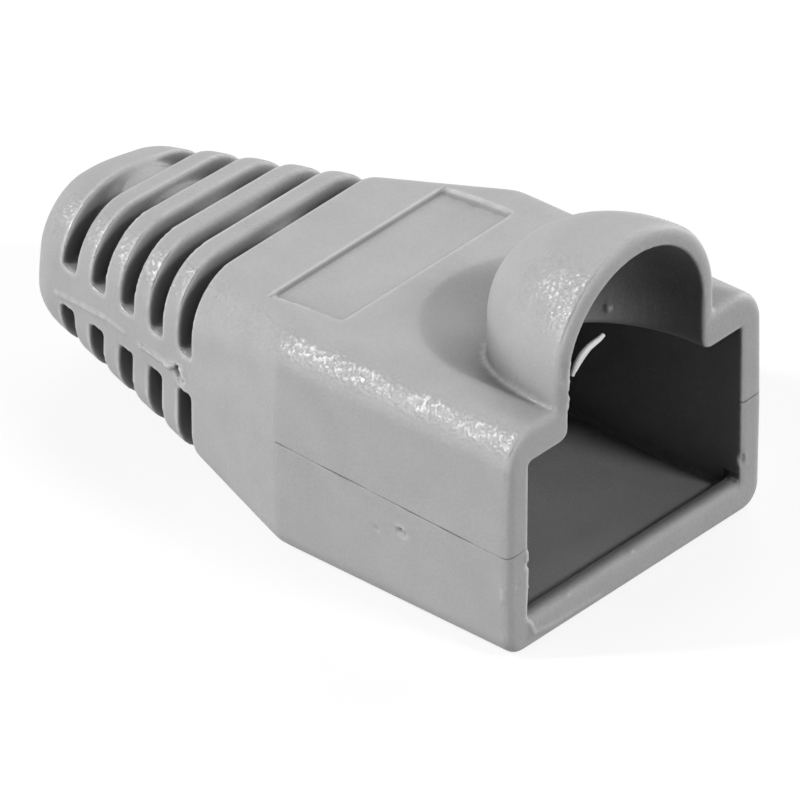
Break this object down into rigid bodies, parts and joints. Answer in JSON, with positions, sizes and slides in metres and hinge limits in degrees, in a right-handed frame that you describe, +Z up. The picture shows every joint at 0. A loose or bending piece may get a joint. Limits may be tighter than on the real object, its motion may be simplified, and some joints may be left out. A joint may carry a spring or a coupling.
{
  "type": "rj45 strain relief boot",
  "caption": "Soft moulded boot for a modular plug, with a latch hood at its mouth and a slotted flexing neck behind.",
  "frame": {"origin": "on the flat underside, below the middle of the boot's length and width", "axes": "+X along the cable, out of the plug mouth; +Y across the boot; +Z up, towards the latch hood"},
  "size_m": [0.0254, 0.014, 0.0147],
  "materials": {
    "boot": "grey soft PVC, fine satin moulded skin"
  },
  "bodies": {
    "root": {"boot": "boot"}
  },
  "joints": []
}
